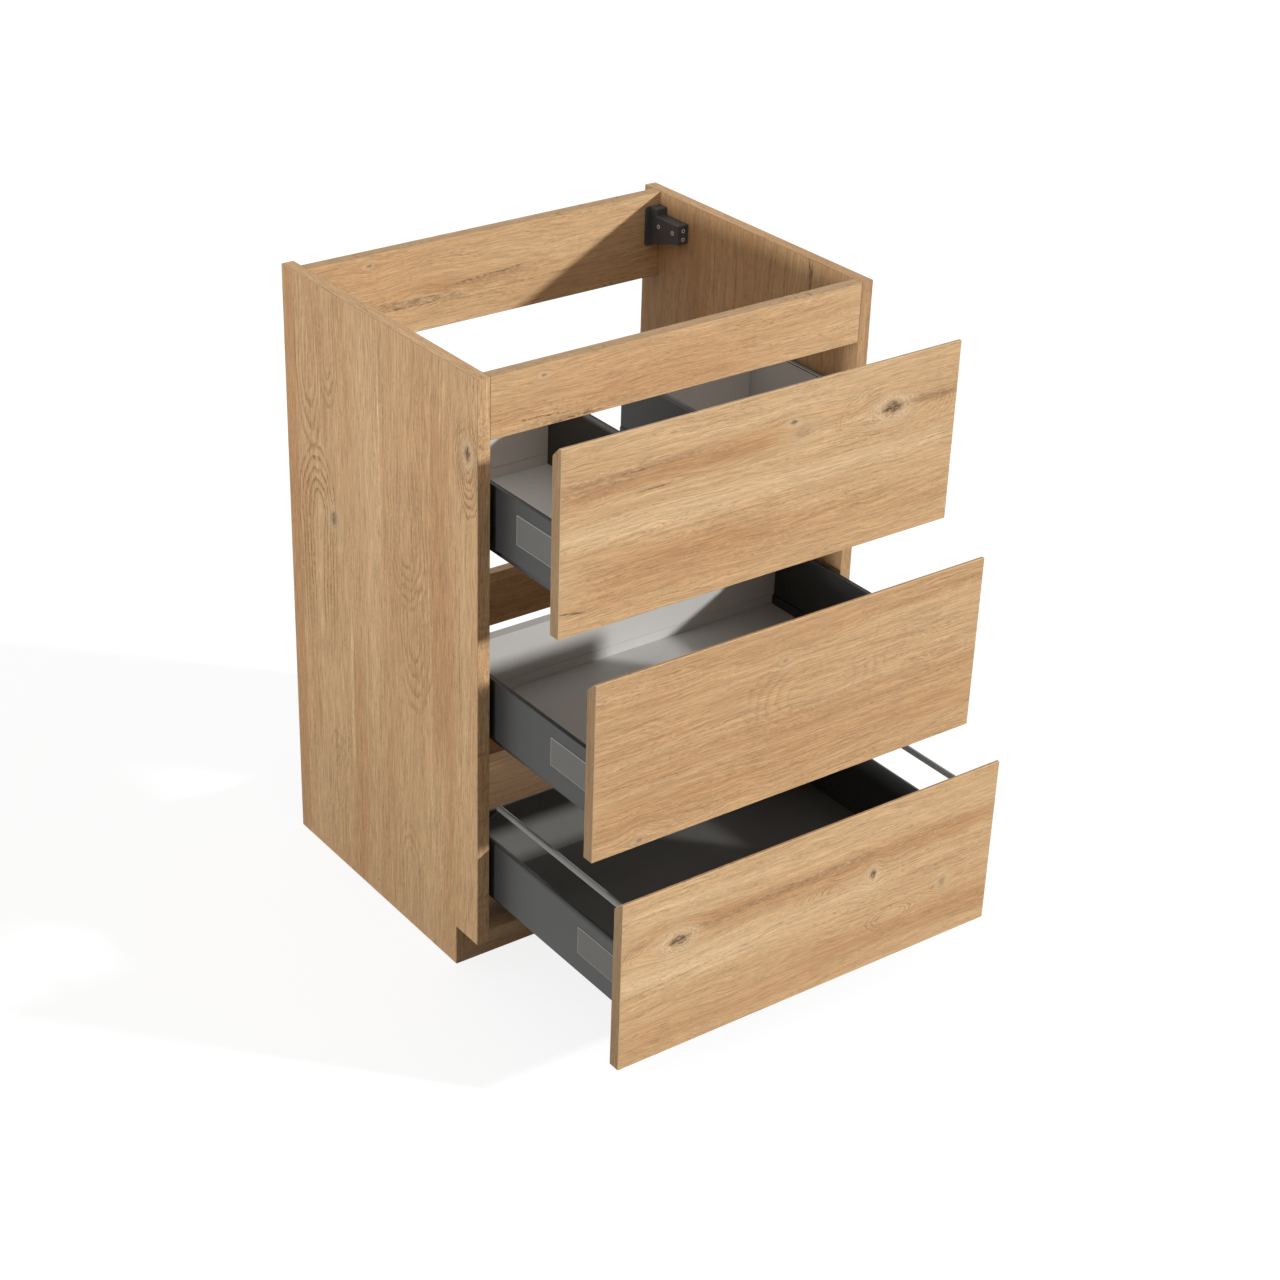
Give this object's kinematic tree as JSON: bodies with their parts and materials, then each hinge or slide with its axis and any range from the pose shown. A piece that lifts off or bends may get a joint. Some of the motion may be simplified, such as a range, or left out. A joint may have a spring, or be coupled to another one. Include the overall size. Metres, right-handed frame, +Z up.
{
  "type": "under-sink drawer cabinet",
  "caption": "Floor-standing oak-faced under-sink cabinet with pull-out drawers, a trap cut-out in the top one and wall hangers inside.",
  "frame": {"origin": "centre of the floor rectangle that the cabinet covers with its drawers as in the picture", "axes": "+X to the cabinet's right seen from the front, +Y to its rear, +Z up"},
  "size_m": [0.6, 0.772, 0.856],
  "materials": {
    "oak": "satin",
    "grey_board": "matte",
    "dark_board": "matte",
    "grey_steel": "matte",
    "grey_plastic": "matte",
    "plate": "satin",
    "zinc": "satin",
    "black_plastic": "matte"
  },
  "bodies": {
    "carcass": {"side_panel_left": "oak", "side_panel_right": "oak", "bottom_panel": "oak", "front_top_rail": "oak", "rear_top_rail": "oak", "rear_middle_rail": "oak", "rear_lower_rail": "oak", "plinth_board": "oak", "rear_plinth_board": "oak", "hanger_fixings": "zinc", "hanger_housing_left": "black_plastic", "runner_rail_left_1": "zinc", "runner_rail_left_2": "zinc", "runner_rail_left_3": "zinc", "hanger_housing_right": "black_plastic", "runner_rail_right_1": "zinc", "runner_rail_right_2": "zinc", "runner_rail_right_3": "zinc"},
    "carriage_left": {"hanger_carriage_left": "zinc"},
    "hook_left": {"hanger_hook_left": "zinc"},
    "height_screw_left": {"height_screw_left": "zinc"},
    "depth_screw_left": {"depth_screw_left": "zinc"},
    "carriage_right": {"hanger_carriage_right": "zinc"},
    "hook_right": {"hanger_hook_right": "zinc"},
    "height_screw_right": {"height_screw_right": "zinc"},
    "depth_screw_right": {"depth_screw_right": "zinc"},
    "drawer_1": {"drawer_front_1": "oak", "drawer_side_left_1": "grey_steel", "drawer_side_right_1": "grey_steel", "drawer_floor_1": "grey_board", "cover_plates_1": "plate", "front_brackets_1": "zinc", "drawer_back_left_1": "grey_board", "cutout_wall_left": "grey_plastic", "drawer_back_right_1": "grey_board", "cutout_wall_right": "grey_plastic", "cutout_cross_wall": "grey_plastic"},
    "runners_1": {"runner_members_1": "zinc"},
    "drawer_2": {"drawer_front_2": "oak", "drawer_side_left_2": "grey_steel", "drawer_side_right_2": "grey_steel", "drawer_floor_2": "grey_board", "cover_plates_2": "plate", "front_brackets_2": "zinc", "drawer_back_2": "grey_board"},
    "runners_2": {"runner_members_2": "zinc"},
    "drawer_3": {"drawer_front_3": "oak", "drawer_side_left_3": "grey_steel", "drawer_side_right_3": "grey_steel", "drawer_floor_3": "dark_board", "cover_plates_3": "plate", "front_brackets_3": "zinc", "gallery_rod_left": "zinc", "gallery_rod_right": "zinc", "drawer_back_3": "grey_steel", "gallery_holders": "grey_plastic"},
    "runners_3": {"runner_members_3": "zinc"}
  },
  "joints": [
    {"name": "drawer_1_slide", "type": "slide", "parent": "carcass", "child": "drawer_1", "axis": [0, -1, 0], "range_m": [-0.1495, 0.1955]},
    {"name": "runners_1_slide", "type": "slide", "parent": "carcass", "child": "runners_1", "axis": [0, -1, 0], "range_m": [-0.07475, 0.09775]},
    {"name": "drawer_2_slide", "type": "slide", "parent": "carcass", "child": "drawer_2", "axis": [0, -1, 0], "range_m": [-0.2265, 0.1185]},
    {"name": "runners_2_slide", "type": "slide", "parent": "carcass", "child": "runners_2", "axis": [0, -1, 0], "range_m": [-0.11325, 0.05925]},
    {"name": "drawer_3_slide", "type": "slide", "parent": "carcass", "child": "drawer_3", "axis": [0, -1, 0], "range_m": [-0.291, 0.054]},
    {"name": "runners_3_slide", "type": "slide", "parent": "carcass", "child": "runners_3", "axis": [0, -1, 0], "range_m": [-0.1455, 0.027]},
    {"name": "hanger_lift_left", "type": "slide", "parent": "carcass", "child": "carriage_left", "axis": [0, 0, 1], "range_m": [-0.003, 0.003]},
    {"name": "hanger_depth_left", "type": "slide", "parent": "carriage_left", "child": "hook_left", "axis": [0, 1, 0], "range_m": [-0.005, 0.005]},
    {"name": "height_screw_turn_left", "type": "hinge", "parent": "carcass", "child": "height_screw_left", "pos_m": [-0.273, 0.284, 0.8194], "axis": [0, 1, 0], "range_deg": [-720, 720]},
    {"name": "depth_screw_turn_left", "type": "hinge", "parent": "carcass", "child": "depth_screw_left", "pos_m": [-0.273, 0.284, 0.8069], "axis": [0, 1, 0], "range_deg": [-1200, 1200]},
    {"name": "hanger_lift_right", "type": "slide", "parent": "carcass", "child": "carriage_right", "axis": [0, 0, 1], "range_m": [-0.003, 0.003]},
    {"name": "hanger_depth_right", "type": "slide", "parent": "carriage_right", "child": "hook_right", "axis": [0, 1, 0], "range_m": [-0.005, 0.005]},
    {"name": "height_screw_turn_right", "type": "hinge", "parent": "carcass", "child": "height_screw_right", "pos_m": [0.273, 0.284, 0.8194], "axis": [0, 1, 0], "range_deg": [-720, 720]},
    {"name": "depth_screw_turn_right", "type": "hinge", "parent": "carcass", "child": "depth_screw_right", "pos_m": [0.273, 0.284, 0.8069], "axis": [0, 1, 0], "range_deg": [-1200, 1200]}
  ],
  "couplings": [
    {"joint": "runners_1_slide", "follows": "drawer_1_slide", "ratio": 0.5},
    {"joint": "runners_2_slide", "follows": "drawer_2_slide", "ratio": 0.5},
    {"joint": "runners_3_slide", "follows": "drawer_3_slide", "ratio": 0.5},
    {"joint": "height_screw_turn_left", "follows": "hanger_lift_left", "rad_per_m": 4188.8},
    {"joint": "depth_screw_turn_left", "follows": "hanger_depth_left", "rad_per_m": 4188.8},
    {"joint": "height_screw_turn_right", "follows": "hanger_lift_right", "rad_per_m": 4188.8},
    {"joint": "depth_screw_turn_right", "follows": "hanger_depth_right", "rad_per_m": 4188.8}
  ]
}
